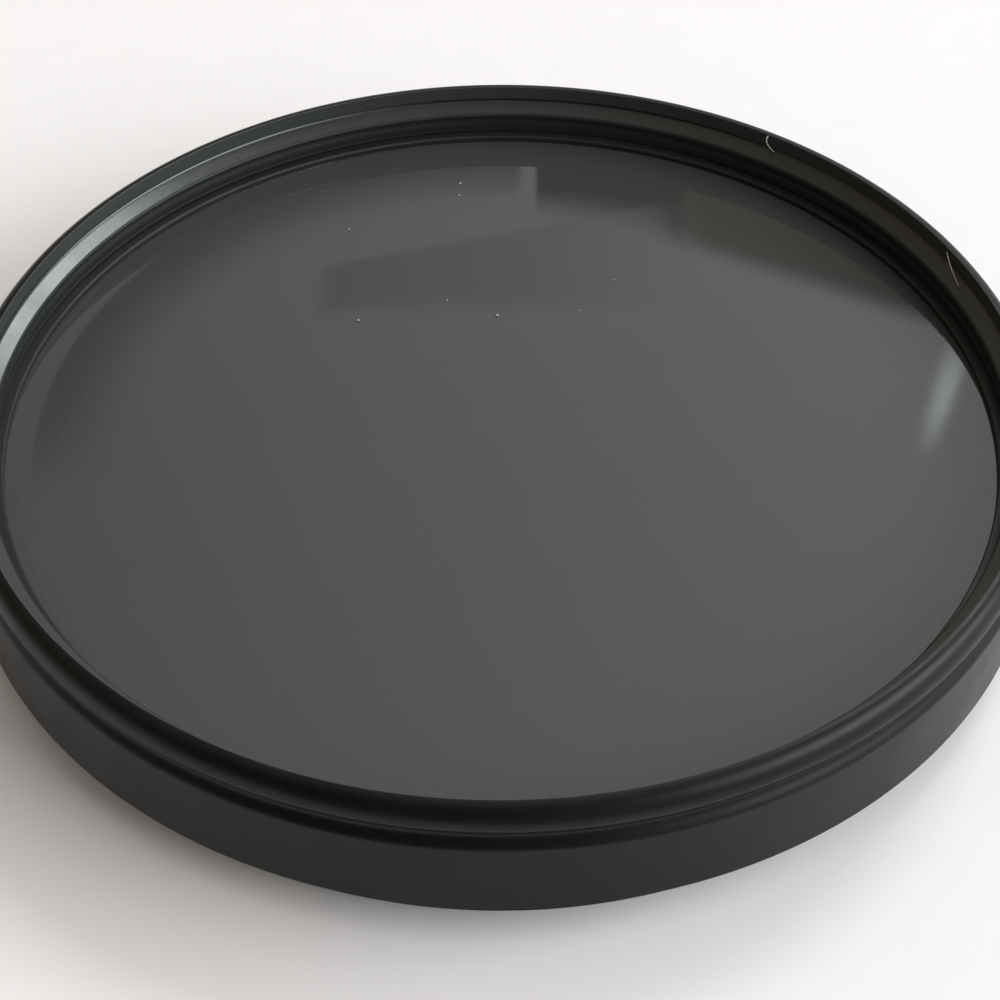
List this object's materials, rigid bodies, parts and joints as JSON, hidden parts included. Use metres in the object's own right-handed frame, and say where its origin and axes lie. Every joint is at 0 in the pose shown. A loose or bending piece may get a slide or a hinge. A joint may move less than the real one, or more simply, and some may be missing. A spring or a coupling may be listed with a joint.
{
  "type": "screw-in lens filter",
  "caption": "Round screw-in lens filter: a black turned ring with a thread behind and a thread in front, holding a flat neutral grey glass disc under a split spring ring.",
  "frame": {"origin": "centre of the filter's axis on the end face of the rear thread, which it rests on", "axes": "+Z along the optical axis, from the lens side to the front; X and Y across the ring, the gap of the spring ring at -Y"},
  "size_m": [0.0546, 0.0546, 0.009],
  "materials": {
    "black_anodised": "satin black anodised, turned",
    "ring_black": "blackened spring steel",
    "grey_glass": "polished neutral grey optical glass with a little dust"
  },
  "bodies": {
    "root": {"filter_frame": "black_anodised", "filter_glass": "grey_glass", "retaining_ring": "ring_black"}
  },
  "joints": []
}
